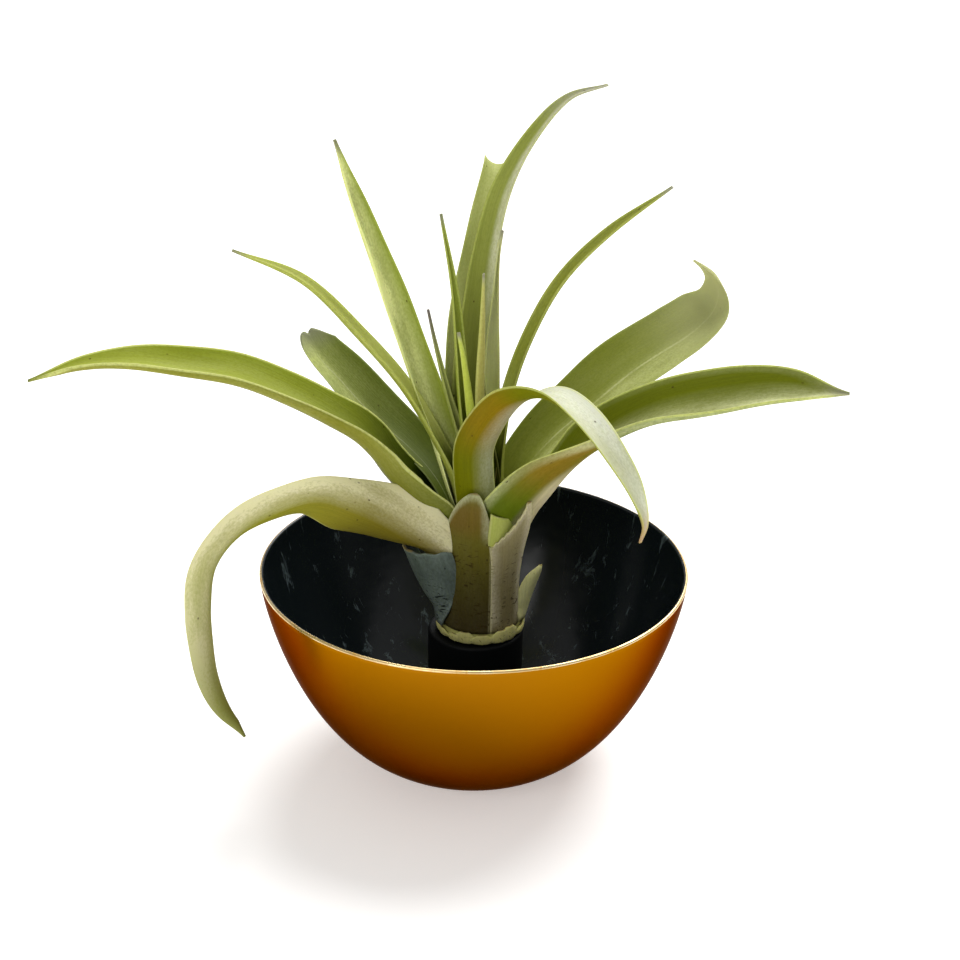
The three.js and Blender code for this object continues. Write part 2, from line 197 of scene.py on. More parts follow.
def link_object(name, mesh):
    obj = bpy.data.objects.new(name, mesh)
    bpy.context.collection.objects.link(obj)
    return obj


def turned_mesh(name, profile, sides, centre_x=0.0, finish=None):
    """A solid turned about +Z from (radius, height, material number) points, from the axis back to it.
    finish may move a point that is given as angle, radius and height."""
    points = []
    faces = []
    numbers = []
    for radius, height, _ in profile[1:-1]:
        for k in range(sides):
            angle = 2 * math.pi * k / sides
            r, z = finish(angle, radius, height) if finish else (radius, height)
            points.append((centre_x + r * math.cos(angle), r * math.sin(angle), z))
    bottom = len(points)
    points.append((centre_x, 0, profile[0][1]))
    points.append((centre_x, 0, profile[-1][1]))
    rings = len(profile) - 2
    for k in range(sides):
        after = (k + 1) % sides
        faces.append((bottom, after, k))
        numbers.append(profile[1][2])
        for i in range(rings - 1):
            a, b = i * sides, (i + 1) * sides
            faces.append((a + k, a + after, b + after, b + k))
            numbers.append(profile[i + 2][2])
        last = (rings - 1) * sides
        faces.append((bottom + 1, last + k, last + after))
        numbers.append(profile[-1][2])
    mesh = bpy.data.meshes.new(name)
    mesh.from_pydata(points, [], faces)
    mesh.polygons.foreach_set("material_index", numbers)
    mesh.shade_smooth()
    return mesh


def bowl_curve(depth):
    """Outer radius of the bowl at a depth below the rim."""
    return RIM_RADIUS * (1 - (depth / BOWL_FULL_DEPTH) ** BOWL_DEPTH_POWER) ** (1 / BOWL_ROUNDNESS)


def bowl_profile():
    """Half section of the bowl: up the outside from its foot, over the rim and down inside to its floor."""
    outside = []
    for i in range(BOWL_RINGS + 1):
        depth = BOWL_HEIGHT * math.sin(math.pi / 2 * (1 - i / BOWL_RINGS))
        outside.append(Vector((bowl_curve(depth), BOWL_HEIGHT - depth)))
    inside = []
    for i in range(1, len(outside)):
        run = (outside[i] - outside[i - 1]).normalized()
        inside.insert(0, outside[i] + BOWL_WALL * Vector((-run.y, run.x)))
    lip = BOWL_WALL / 2
    lip_centre = (outside[-1] + inside[0]) / 2 - Vector((0, lip))
    rim = []
    for i in range(RIM_STEPS + 1):
        turn = math.pi * i / RIM_STEPS
        rim.append(lip_centre + lip * Vector((math.cos(turn), math.sin(turn))))
    rim_faces = [OUTSIDE] + [BRIGHT] * (RIM_STEPS // 2) + [INSIDE] * (RIM_STEPS // 2)
    body = [(p.x, p.y, OUTSIDE) for p in outside if p.y < lip_centre.y]
    edge = [(p.x, p.y, face) for p, face in zip(rim, rim_faces)]
    lining = [(p.x, p.y, INSIDE) for p in inside if BOWL_WALL < p.y < lip_centre.y]
    floor = [(outside[0].x - BOWL_WALL, BOWL_WALL, INSIDE), (0, BOWL_WALL, INSIDE)]
    return [(0, 0, OUTSIDE)] + body + edge + lining + floor


def bowl_finish(angle, radius, height):
    """The hand-held edge of a spun bowl is never quite level."""
    near_rim = max(0.0, 1 - (BOWL_HEIGHT - height) / RIM_BAND)
    wobble = math.sin(3 * angle + 0.6) + 0.6 * math.sin(7 * angle + 2.1) + 0.3 * math.sin(13 * angle)
    return radius, height - RIM_WOBBLE * near_rim * (1 + 0.5 * wobble)


def marks_group():
    """Smears and fine scratches on a smooth hard surface, as a mask."""
    group = bpy.data.node_groups.new("Handling marks", "ShaderNodeTree")
    group.interface.new_socket("Smears per Metre", in_out="INPUT", socket_type="NodeSocketFloat")
    group.interface.new_socket("Mask", in_out="OUTPUT", socket_type="NodeSocketFloat")
    smears_per_metre = add_node(group, "NodeGroupInput").outputs["Smears per Metre"]
    place = add_node(group, "ShaderNodeTexCoord").outputs["Object"]
    smear = add_noise(group, smears_per_metre, Vector=place, Detail=6.0, Roughness=0.62)
    stretched = add_node(group, "ShaderNodeMapping", {"Vector": place, "Rotation": (0.3, 0.5, 0.9),
                                                      "Scale": (900, 60, 60)}).outputs["Vector"]
    scratch = add_noise(group, Vector=stretched, Detail=3.0)
    scratches = map_value(group, scratch, 0.62, 0.72, stop=0.35)
    smears = map_value(group, smear, 0.35, 0.75)
    total = add_node(group, "ShaderNodeMath", {0: scratches, 1: smears}, operation="ADD", use_clamp=True)
    out = add_node(group, "NodeGroupOutput")
    group.links.new(total.outputs["Value"], out.inputs["Mask"])
    return group


handling_marks = marks_group()


def add_marks(tree, smears_per_metre):
    return add_node(tree, "ShaderNodeGroup", {"Smears per Metre": smears_per_metre},
                    node_tree=handling_marks).outputs["Mask"]


def add_bump(tree, height, strength, distance):
    return add_node(tree, "ShaderNodeBump", {"Height": height, "Strength": strength,
                                             "Distance": distance}).outputs["Normal"]


def gold_lacquer():
    """Satin lacquer over fine rings from the lathe, darker towards the foot as painted shade."""
    material, tree, shader = new_material("gold_lacquer", Metallic=1.0, Specular_Tint=srgb(GOLD_GLINT))
    place = add_node(tree, "ShaderNodeTexCoord").outputs["Object"]
    lathe = add_node(tree, "ShaderNodeMapping", {"Vector": place, "Scale": (2, 2, 700)}).outputs["Vector"]
    rings = add_noise(tree, Vector=lathe, Detail=4.0)
    height = add_node(tree, "ShaderNodeSeparateXYZ", {"Vector": place}).outputs["Z"]
    # Painted shade: the gold darkens from the rim down to the foot.
    low = map_value(tree, height, BOWL_HEIGHT, 0.0)
    link_looks(tree, shader, Base_Color=mix_colours(tree, low, srgb(GOLD), srgb(GOLD_SHADED_FOOT)),
               Roughness=map_value(tree, add_marks(tree, 22.0), start=0.34, stop=0.44),
               Normal=add_bump(tree, rings, 0.12, 0.00008))
    return material


def black_enamel():
    """Gloss enamel with a slight ripple, and pale streaks on the wall that are painted reflections."""
    material, tree, shader = new_material("black_enamel", Specular_IOR_Level=0.3)
    place = add_node(tree, "ShaderNodeTexCoord").outputs["Object"]
    streak = add_node(tree, "ShaderNodeMapping", {"Vector": place, "Scale": (230, 230, 45)}).outputs["Vector"]
    flow = add_noise(tree, Vector=streak, Detail=5.0, Roughness=0.7, Distortion=0.6)
    # Pale vertical streaks: painted reflections on the enamel.
    painted_reflection_streaks = map_value(tree, flow, 0.6, 0.72, stop=0.6)
    ripple = add_noise(tree, 90.0, Vector=place)
    link_looks(tree, shader, Base_Color=mix_colours(tree, painted_reflection_streaks, srgb(ENAMEL), srgb(ENAMEL_REFLECTION_STREAK)),
               Roughness=map_value(tree, add_marks(tree, 30.0), start=0.12, stop=0.26),
               Normal=add_bump(tree, ripple, 0.25, 0.0006))
    return material


def bright_rim():
    """Bare metal of the cut edge, dull and darker where it is worn."""
    material, tree, shader = new_material("bright_rim", Metallic=1.0)
    marks = add_marks(tree, 160.0)
    link_looks(tree, shader, Base_Color=mix_colours(tree, marks, srgb(RIM_METAL), srgb(RIM_WORN)),
               Roughness=map_value(tree, marks, start=0.2, stop=0.45))
    return material


bowl = link_object("bowl_shell", turned_mesh("bowl_shell", bowl_profile(), BOWL_SIDES, finish=bowl_finish))
for bowl_material in (gold_lacquer(), black_enamel(), bright_rim()):
    bowl.data.materials.append(bowl_material)
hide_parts("bowl")
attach(bowl, "root")

# Stand: a black moulded block with a shallow socket in its top. It lifts the plant to the height of the
# rim, and it stands on the floor of the bowl by its own weight.
STAND_X = 0.7 * MM
STAND_RADIUS = 13.5 * MM
STAND_TOP = 39.5 * MM
STAND_ROUNDING = 1 * MM
ROUNDING_STEPS = 6
STAND_FOOT_EDGE = 0.3 * MM
STAND_SIDES = 128
SOCKET_RADIUS = 7.5 * MM
SOCKET_DEPTH = 3 * MM
CLEARANCE = 0.3 * MM
STAND_BLACK = "070808"


def stand_profile():
    """Half section of the stand: up from its foot, over the rounded top edge and down into the socket."""
    foot = BOWL_WALL + CLEARANCE
    rounding = []
    for i in range(ROUNDING_STEPS + 1):
        turn = math.pi / 2 * i / ROUNDING_STEPS
        rounding.append((STAND_RADIUS - STAND_ROUNDING * (1 - math.cos(turn)),
                         STAND_TOP - STAND_ROUNDING * (1 - math.sin(turn)), 0))
    return [(0, foot, 0), (STAND_RADIUS - STAND_FOOT_EDGE, foot, 0),
            (STAND_RADIUS, foot + STAND_FOOT_EDGE, 0), *rounding, (SOCKET_RADIUS, STAND_TOP, 0),
            (SOCKET_RADIUS, STAND_TOP - SOCKET_DEPTH, 0), (0, STAND_TOP - SOCKET_DEPTH, 0)]


def stand_plastic():
    material, tree, shader = new_material("stand_plastic", Base_Color=srgb(STAND_BLACK),
                                          Specular_IOR_Level=0.12)
    link_looks(tree, shader, Roughness=map_value(tree, add_marks(tree, 60.0), start=0.5, stop=0.7))
    return material


stand = link_object("stand_block", turned_mesh("stand_block", stand_profile(), STAND_SIDES, STAND_X))
stand.data.materials.append(stand_plastic())
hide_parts("stand")
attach(stand, "root")

# Stem: the short woody stem of the plant, which all leaves wrap, on the disc of old growth that is left
# of its first leaves. Its root end stands in the socket of the stand.
PLANT_X = 2 * MM
STEM_ROOT_RADIUS = 5.5 * MM
STEM_RADIUS = 6.6 * MM
STEM_SHOULDER = 74 * MM
STEM_TOP = 80 * MM
DISC_RADIUS = 11.8 * MM
DISC_THICKNESS = 3 * MM
DISC_BEVEL = 1 * MM
DISC_TOP = STAND_TOP + CLEARANCE + DISC_THICKNESS
DOME_STEPS = 12
STEM_SIDES = 96
STEM_RIPPLE = 0.012
BARK = "8F8A3A"
BARK_PALE = "B8B56A"


def stem_profile():
    """Half section of the stem: its root end, the disc of old growth, and the stem up to its domed top."""
    root_end = STAND_TOP - SOCKET_DEPTH + CLEARANCE
    disc_foot = STAND_TOP + CLEARANCE
    dome = []
    for i in range(DOME_STEPS):
        turn = math.pi / 2 * i / DOME_STEPS
        dome.append((STEM_RADIUS * math.cos(turn),
                     STEM_SHOULDER + (STEM_TOP - STEM_SHOULDER) * math.sin(turn), 0))
    return [(0, root_end, 0), (STEM_ROOT_RADIUS, root_end, 0), (STEM_ROOT_RADIUS, disc_foot, 0),
            (DISC_RADIUS - DISC_BEVEL, disc_foot, 0), (DISC_RADIUS, DISC_TOP - DISC_BEVEL, 0),
            (DISC_RADIUS - DISC_BEVEL / 2, DISC_TOP, 0), (STEM_RADIUS, DISC_TOP, 0), *dome,
            (0, STEM_TOP, 0)]


def stem_finish(angle, radius, height):
    """A grown stem isn't quite round."""
    ripple = math.sin(5 * angle + 0.4) + 0.5 * math.sin(11 * angle + 1.7)
    return radius * (1 + STEM_RIPPLE * ripple), height


def stem_bark():
    material, tree, shader = new_material("stem_bark", Roughness=0.75)
    place = add_node(tree, "ShaderNodeTexCoord").outputs["Object"]
    grain = add_noise(tree, 260.0, Vector=place, Detail=5.0)
    link_looks(tree, shader, Base_Color=mix_colours(tree, grain, srgb(BARK), srgb(BARK_PALE)),
               Normal=add_bump(tree, grain, 0.5, 0.0005))
    return material


stem = link_object("stem_core", turned_mesh("stem_core", stem_profile(), STEM_SIDES, PLANT_X, stem_finish))
stem.data.materials.append(stem_bark())
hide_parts("stem")
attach(stem, "root")

# Blades: every leaf, bract and sheath is one grown blade, a channel that is thick along its middle and
# thin at its margins. Its skin is green under a bloom of silver scales, with fine fibres along it. Sizes
# of blades are in mm.
SHEATH_THICKNESS = 0.8
MARGIN_THICKNESS = 0.3
LAYER_STEP = SHEATH_THICKNESS + 0.5
SHEATH_FOOT = 43.1
INNER = 6.9
SECOND = INNER + LAYER_STEP
THIRD = SECOND + LAYER_STEP
OUTER = THIRD + LAYER_STEP
OUTERMOST = OUTER + LAYER_STEP
OPENS_FROM = 0.6
OPEN_BY = 1.2
NARROWEST = 0.3
RIDGED_HALF_WIDTH = 1.5
WAVY_HALF_WIDTH = 5
RING_SPACING = 1.1
FEWEST_RINGS = 8
SPINE_STEPS = 12
EVEN_TURN = 1.35
CREASE_WIDTH = 0.07
RIGHT_WAVE, LEFT_WAVE, SHORT_WAVE, LONG_WAVE = 9.5, 11, 4.3, 17


def smooth_list(values, share):
    """Smooth curve through evenly spaced values, at a share of its length."""
    last = len(values) - 1
    at = np.clip(share, 0, 1) * last
    low = np.minimum(at.astype(int), last - 1)
    weight = at - low
    v = np.asarray(values, float)
    p0, p1, p2, p3 = v[np.maximum(low - 1, 0)], v[low], v[low + 1], v[np.minimum(low + 2, last)]
    slope0, slope1 = (p2 - p0) / 2, (p3 - p1) / 2
    return ((2 * p1 - 2 * p2 + slope0 + slope1) * weight ** 3
            + (3 * p2 - 3 * p1 - 2 * slope0 - slope1) * weight ** 2 + slope0 * weight + p1)


def smooth_path(points, steps):
    """Points and directions along a centripetal curve through the given points."""
    padded = np.vstack([2 * points[0] - points[1], points, 2 * points[-1] - points[-2]])
    places = []
    headings = []
    for i in range(len(points) - 1):
        p0, p1, p2, p3 = padded[i:i + 4]
        gaps = [max(np.linalg.norm(b - a), 1e-8) ** 0.5 for a, b in ((p0, p1), (p1, p2), (p2, p3))]
        slope1 = ((p1 - p0) / gaps[0] - (p2 - p0) / (gaps[0] + gaps[1]) + (p2 - p1) / gaps[1]) * gaps[1]
        slope2 = ((p2 - p1) / gaps[1] - (p3 - p1) / (gaps[1] + gaps[2]) + (p3 - p2) / gaps[2]) * gaps[1]
        for k in range(steps + (i == len(points) - 2)):
            w = k / steps
            c2 = -3 * p1 + 3 * p2 - 2 * slope1 - slope2
            c3 = 2 * p1 - 2 * p2 + slope1 + slope2
            places.append(p1 + slope1 * w + c2 * w * w + c3 * w ** 3)
            headings.append(slope1 + 2 * c2 * w + 3 * c3 * w * w)
    headings = np.array(headings)
    return np.array(places), headings / np.linalg.norm(headings, axis=1)[:, None]


def smoothstep(value, low, high):
    t = np.clip((value - low) / (high - low), 0, 1)
    return t * t * (3 - 2 * t)


def blade_frames(heading, spine, widths, folds, rolls, hug, ridge, lips):
    """The length of a blade, the share of it at each step along the spine, and a row of values for each
    step: centre, side and up as vectors, half width, bend, thickness of the margin and what the middle
    has beyond it, how far the blade has let go of the stem, and width of the lip."""
    angle = math.radians(heading)
    out = np.array((math.cos(angle), math.sin(angle), 0))
    across = np.array((-out[1], out[0], 0))
    knots = np.array([np.array((PLANT_X / MM, 0, p[1])) + p[0] * out + (p[2] if len(p) > 2 else 0) * across
                      for p in spine])
    centre, tangent = smooth_path(knots, SPINE_STEPS)
    length = np.concatenate([[0], np.cumsum(np.linalg.norm(np.diff(centre, axis=0), axis=1))])
    share = length / length[-1]
    roll = np.radians(smooth_list(rolls, share))
    sides = []
    ups = []
    for i in range(len(centre)):
        across = across - across.dot(tangent[i]) * tangent[i]
        across = across / np.linalg.norm(across)
        inward = np.cross(tangent[i], across)
        sides.append(across * math.cos(roll[i]) + inward * math.sin(roll[i]))
        ups.append(inward * math.cos(roll[i]) - across * math.sin(roll[i]))
    half = np.maximum(smooth_list(widths, share), NARROWEST) / 2
    opened = np.ones_like(share) if hug == 0 else smoothstep(share, hug * OPENS_FROM, hug * OPEN_BY)
    bend = opened * np.radians(smooth_list(folds, share)) / half + (1 - opened) / spine[0][0]
    rim = SHEATH_THICKNESS * (1 - opened) + MARGIN_THICKNESS * opened
    swell = (SHEATH_THICKNESS * (1 - opened) + ridge * opened - rim) * np.minimum(1, half / RIDGED_HALF_WIDTH)
    lip = np.maximum(smooth_list(lips, share), 0)
    return length[-1], share, np.column_stack([centre, sides, ups, half, bend, rim, swell, opened, lip])


def bent_across(span, turn):
    """How far to the side and how far up each point of a ring lies, once the flat span is bent."""
    middle = span.shape[1] // 2
    placed = []
    for shape in (np.cos(turn), np.sin(turn)):
        steps_across = np.diff(span, axis=1) * (shape[:, 1:] + shape[:, :-1]) / 2
        total = np.concatenate([np.zeros((len(span), 1)), np.cumsum(steps_across, axis=1)], axis=1)
        placed.append(total - total[:, middle:middle + 1])
    return placed


def margin_waves(name, run, across):
    """Slow uneven waves along the two margins, different in each blade."""
    draw = np.random.default_rng(zlib.crc32(name.encode()))
    right, left, short, long = draw.uniform(0, 2 * math.pi, 4)
    return np.sin(run / RIGHT_WAVE + right) * (across > 0) + np.sin(run / LEFT_WAVE + left) * (across < 0) \
        + 0.5 * np.sin(run / SHORT_WAVE + short) + 0.5 * np.sin(run / LONG_WAVE + long)


def blade_faces(rings, strips):
    """Faces of a closed blade. Each ring of points crosses the inner face, rounds one margin, comes back
    on the outer face and rounds the other margin, and the first and last rings are closed."""
    size = 2 * strips + 4
    faces = []
    for i in range(rings):
        for k in range(size):
            a, b = i * size + k, i * size + (k + 1) % size
            faces.append((a, a + size, b + size, b))
    last = rings * size
    for j in range(strips):
        under = 2 * strips + 2 - j
        faces.append((j, j + 1, under - 1, under))
        faces.append((last + j, last + under, last + under - 1, last + j + 1))
    faces.append((0, 2 * strips + 2, 2 * strips + 3))
    faces.append((last, last + 2 * strips + 3, last + 2 * strips + 2))
    faces.append((strips, strips + 1, strips + 2))
    faces.append((last + strips, last + strips + 2, last + strips + 1))
    return faces


def store_values(mesh, key, sheet, which_face=False):
    """Stores three values for each point, the same on both faces. which_face makes the third of them 0 on
    the inner face, a half on the margins and 1 on the outer face."""
    right_margin, outer, left_margin = sheet[:, -1:].copy(), sheet[:, ::-1].copy(), sheet[:, :1].copy()
    if which_face:
        outer[..., 2] = 1.0
        right_margin[..., 2] = left_margin[..., 2] = 0.5
    values = np.concatenate([sheet, right_margin, outer, left_margin], axis=1)
    layer = mesh.attributes.new(key, "FLOAT_VECTOR", "POINT")
    layer.data.foreach_set("vector", values.astype(np.float32).ravel())


def blade_mesh(name, heading, spine, widths, folds, rolls, hug=0.0, ridge=1.0, strips=24, wave=0.3,
               lips=(0, 0), lip_turn=0.0, lip_side=-1, crease=(0.0, 0.0), end=None):
    """The blade of the solid, drawn finer: its rings follow the length, and its margins wave a little.
    The spine's points give how far out from the plant's axis, how high, and how far to the side. Widths,
    folds and rolls, in degrees, and lips, the widths of a margin that stands up, are spread evenly along
    it. hug is the share of the length that wraps the stem, crease is where across the blade a ridge runs
    and how high, and end gives the share of the length that each line along the blade reaches."""
    length, share, frames = blade_frames(heading, spine, widths, folds, rolls, hug, ridge, lips)
    rings = max(FEWEST_RINGS, int(length / RING_SPACING))
    lines = np.sin(np.linspace(-1, 1, strips + 1) * EVEN_TURN) / math.sin(EVEN_TURN)
    reach = np.array([end(line) if end else 1.0 for line in lines])
    steps = np.linspace(0, 1, rings + 1)[:, None]
    along = steps * (1 - steps ** 2 * (1 - reach[None, :]))
    across = np.broadcast_to(lines, along.shape)
    columns = [np.interp(along, share, frames[:, k]) for k in range(frames.shape[1])]
    centre, side, up = (np.stack(columns[3 * k:3 * k + 3], -1) for k in range(3))
    half, bend, rim, swell, opened, lip = columns[9:]
    span = across * half
    run = along * length
    gap = half * (1 - np.abs(across))

    standing = np.where(across * lip_side > 0, 1.0 - smoothstep(gap, 0 * gap, np.maximum(lip, 0.01)), 0.0)
    turn = span * bend + lip_side * math.radians(lip_turn) * standing * (lip > 0)
    aside, above_centre = bent_across(span, turn)
    outward = side * np.sin(turn)[..., None] - up * np.cos(turn)[..., None]
    onward = side * np.cos(turn)[..., None] + up * np.sin(turn)[..., None]
    loose = smoothstep(along, hug * OPENS_FROM, hug * OPEN_BY + 0.1) * smoothstep(1 - along, 0.0, 0.1)
    lift = wave * margin_waves(name, run, across) * np.abs(across) ** 3 * loose \
        * np.minimum(1, half / WAVY_HALF_WIDTH)
    lift = lift + crease[1] * np.exp(-((across - crease[0]) / CREASE_WIDTH) ** 2) * opened
    thick = rim + swell * (1 - across * across)
    inner = centre + side * aside[..., None] + up * above_centre[..., None] + outward * lift[..., None]
    outer = inner + outward * thick[..., None]
    right, left = ((inner[:, k] + outer[:, k]) / 2 + onward[:, k] * (across[:, k] * rim[:, k] / 2)[:, None]
                   for k in (strips, 0))
    points = np.concatenate([inner, right[:, None], outer[:, ::-1], left[:, None]], axis=1)

    mesh = bpy.data.meshes.new(name)
    mesh.from_pydata((points.reshape(-1, 3) * MM).tolist(), [], blade_faces(rings, strips))
    mesh.shade_smooth()
    if end:
        gap = np.minimum(gap, (along[-1:] - along) * length + 0.15)
    store_values(mesh, "blade_mm", np.stack([span, run, gap], -1))
    store_values(mesh, "blade_share", np.stack([across, along, 0 * along], -1), which_face=True)
    return mesh


# Throat is the deeper green low on a blade's inner face: partly its own colour, partly painted shade deep in
# the rosette.
SKIN_COLOURS = {"Inner": "93A52A", "Throat": "4A5606", "Outer": "86842A", "Base": "8C8A50", "Keel": "B0A282",
                "Bloom": "C9CD88", "Edge": "CDD27C", "Blush": "9C6A18", "Tip": "7A6A4A", "Speck": "3E3010"}
SKIN_VALUES = {"Inner Bloom": 0.12, "Outer Bloom": 0.12, "Side Bloom": 0.0, "Margin Bloom": 0.0,
               "Throat Reach": 0.3, "Base Reach": 0.12, "Keel Width": 0.0, "Keel Reach": 0.0,
               "Blush Amount": 0.0, "Blush At": 0.5, "Blush Spread": 0.5, "Edge Width": 0.5, "Crease": 0.0,
               "Crease At": 0.0, "Specks": 0.1, "Tip Reach": 0.06, "Side Step": 0.0, "Edge Amount": 0.3,
               "Margin From": 0.0, "Outer Side": 1.0, "Scratches": 0.0, "Seed": 0.0}
SKIN_SHADE = (0.02, 0.03, 0.0, 1)
SKIN_SHEEN = "F0EFC4"
SKIN_RELIEF = 0.5
SKIN_RELIEF_DEPTH = 0.2 * MM


def skin_group():
    """Colour, roughness and relief of a blade, from its own across, along and side-of-blade values."""
    group = bpy.data.node_groups.new("Leaf skin", "ShaderNodeTree")
    for key in SKIN_COLOURS:
        group.interface.new_socket(key, in_out="INPUT", socket_type="NodeSocketColor")
    for key in SKIN_VALUES:
        group.interface.new_socket(key, in_out="INPUT", socket_type="NodeSocketFloat")
    group.interface.new_socket("Color", in_out="OUTPUT", socket_type="NodeSocketColor")
    group.interface.new_socket("Roughness", in_out="OUTPUT", socket_type="NodeSocketFloat")
    group.interface.new_socket("Height", in_out="OUTPUT", socket_type="NodeSocketFloat")
    given = add_node(group, "NodeGroupInput").outputs

    def attribute(key):
        vector = add_node(group, "ShaderNodeAttribute", attribute_name=key).outputs["Vector"]
        return add_node(group, "ShaderNodeSeparateXYZ", {"Vector": vector}).outputs

    def calc(operation, a, b=0.0, clamp=False):
        return add_node(group, "ShaderNodeMath", {0: a, 1: b}, operation=operation,
                        use_clamp=clamp).outputs["Value"]

    def times(*values):
        total = values[0]
        for value in values[1:]:
            total = calc("MULTIPLY", total, value)
        return total

    def fade(value, low, high, start=0.0, stop=1.0):
        return map_value(group, value, low, high, start, stop, interpolation_type="SMOOTHSTEP")

    def blend(factor, a, b):
        return mix_colours(group, factor, a, b)

    def blend_value(factor, a, b):
        return add_node(group, "ShaderNodeMix", {"Factor": factor, "A": a, "B": b}).outputs["Result"]

    def pattern(per_mm_across, per_mm_along, detail=3.0, distortion=0.0):
        vector = add_node(group, "ShaderNodeCombineXYZ", {
            "X": times(mm["X"], per_mm_across), "Y": times(mm["Y"], per_mm_along),
            "Z": calc("ADD", given["Seed"], times(part["Z"], 3.0))}).outputs["Vector"]
        return add_noise(group, Vector=vector, Detail=detail, Distortion=distortion)

    mm = attribute("blade_mm")
    part = attribute("blade_share")
    outer_face = part["Z"]
    inner_face = calc("SUBTRACT", 1.0, outer_face)
    fibres = pattern(3.2, 0.07)
    scurf = pattern(2.2, 1.1, 5.0)
    clouds = pattern(0.22, 0.045, 4.0)
    grain = pattern(7.0, 4.0, 2.0)

    # The two faces: a darker throat on the inner one, partly the blade's deeper green and partly painted
    # shade deep in the rosette, and on the outer one a base, a keel and a blush.
    throat_shade = fade(part["Y"], times(given["Throat Reach"], 0.35), given["Throat Reach"], 1.0, 0.0)
    base = fade(part["Y"], 0.0, given["Base Reach"], 1.0, 0.0)
    keel = times(fade(calc("ABSOLUTE", part["X"]), times(given["Keel Width"], 0.5),
                      calc("ADD", given["Keel Width"], 0.01), 1.0, 0.0),
                 fade(part["Y"], times(given["Keel Reach"], 0.7), given["Keel Reach"], 1.0, 0.0))
    inner = blend(throat_shade, given["Inner"], given["Throat"])
    outer = blend(keel, blend(base, given["Outer"], given["Base"]), given["Keel"])
    blush_place = calc("DIVIDE", calc("ABSOLUTE", calc("SUBTRACT", part["Y"], given["Blush At"])),
                       given["Blush Spread"])
    blush = times(given["Blush Amount"], fade(blush_place, 0.2, 1.0, 1.0, 0.0), calc("SUBTRACT", 1.0, keel),
                  fade(clouds, 0.3, 0.65, 0.6, 1.0))
    outer = blend(blush, outer, given["Blush"])
    colour = blend(outer_face, inner, outer)
    dark = blend(0.25, colour, SKIN_SHADE)
    colour = blend(fade(fibres, 0.62, 0.36, 0.0, 0.5), colour, dark)
    colour = blend(fade(scurf, 0.52, 0.34, 0.0, 0.4), colour, dark)

    # The bloom of silver scales: more on one face, on one side of the blade or along its margins. The side
    # bloom is partly painted light: on some blades it makes the half that faces the light paler.
    side = blend_value(given["Side Step"], part["X"],
                       fade(calc("SUBTRACT", part["X"], given["Crease At"]), -0.3, 0.3, -1.0, 1.0))
    cover = calc("ADD", blend_value(outer_face, given["Inner Bloom"], given["Outer Bloom"]),
                 times(given["Side Bloom"], side, blend_value(outer_face, 1.0, given["Outer Side"])))
    cover = calc("ADD", cover, times(
        given["Margin Bloom"], fade(mm["Z"], 0.3, 3.4, 1.0, 0.0),
        fade(part["Y"], given["Margin From"], calc("ADD", given["Margin From"], 0.12))))
    cover = times(cover, fade(clouds, 0.25, 0.75, 0.55, 1.45), fade(scurf, 0.3, 0.7, 0.8, 1.2),
                  fade(grain, 0.3, 0.7, 0.9, 1.1))
    cover = calc("MULTIPLY", cover, calc("SUBTRACT", 1.0, times(inner_face, throat_shade)), clamp=True)
    colour = blend(cover, colour, given["Bloom"])

    # Over both: a pale crease and pale edges, dark scratches, a dry tip and dark specks.
    crease = fade(calc("ABSOLUTE", calc("SUBTRACT", part["X"], given["Crease At"])), 0.01, 0.045, 1.0, 0.0)
    crease = times(crease, given["Crease"], fade(part["Y"], 0.2, 0.4), fade(part["Y"], 0.95, 0.85),
                   fade(clouds, 0.35, 0.6, 0.15, 1.0), fade(scurf, 0.3, 0.6, 0.5, 1.0))
    colour = blend(crease, colour, given["Edge"])
    edge = fade(mm["Z"], times(given["Edge Width"], 0.35), given["Edge Width"], given["Edge Amount"], 0.0)
    colour = blend(times(edge, fade(scurf, 0.3, 0.6, 0.6, 1.0)), colour, given["Edge"])
    cracks = pattern(0.22, 0.6, 4.0, 2.6)
    scratch = times(given["Scratches"], fade(cracks, 0.58, 0.65), fade(clouds, 0.4, 0.52),
                    fade(part["Y"], 0.75, 0.55))
    colour = blend(scratch, colour, given["Speck"])
    tip = fade(part["Y"], calc("SUBTRACT", 1.0, given["Tip Reach"]), 1.0, 0.0, 0.9)
    colour = blend(tip, colour, given["Tip"])
    spot_place = add_node(group, "ShaderNodeCombineXYZ", {
        "X": mm["X"], "Y": times(mm["Y"], 0.6), "Z": given["Seed"]}).outputs["Vector"]
    spots = add_node(group, "ShaderNodeTexVoronoi", {"Vector": spot_place, "Scale": 0.55}).outputs
    chance = add_node(group, "ShaderNodeSeparateColor", {"Color": spots["Color"]}).outputs["Red"]
    speck = times(fade(spots["Distance"], 0.06, 0.16, 1.0, 0.0),
                  calc("LESS_THAN", chance, given["Specks"]), fade(grain, 0.3, 0.6))
    colour = blend(speck, colour, given["Speck"])

    rough = calc("ADD", times(cover, 0.25), 0.5)
    height = calc("ADD", calc("ADD", times(fibres, 0.6), times(scurf, 0.3)), times(grain, 0.15))
    out = add_node(group, "NodeGroupOutput")
    for key, value in (("Color", colour), ("Roughness", rough), ("Height", height)):
        group.links.new(value, out.inputs[key])
    return group


leaf_skin = skin_group()


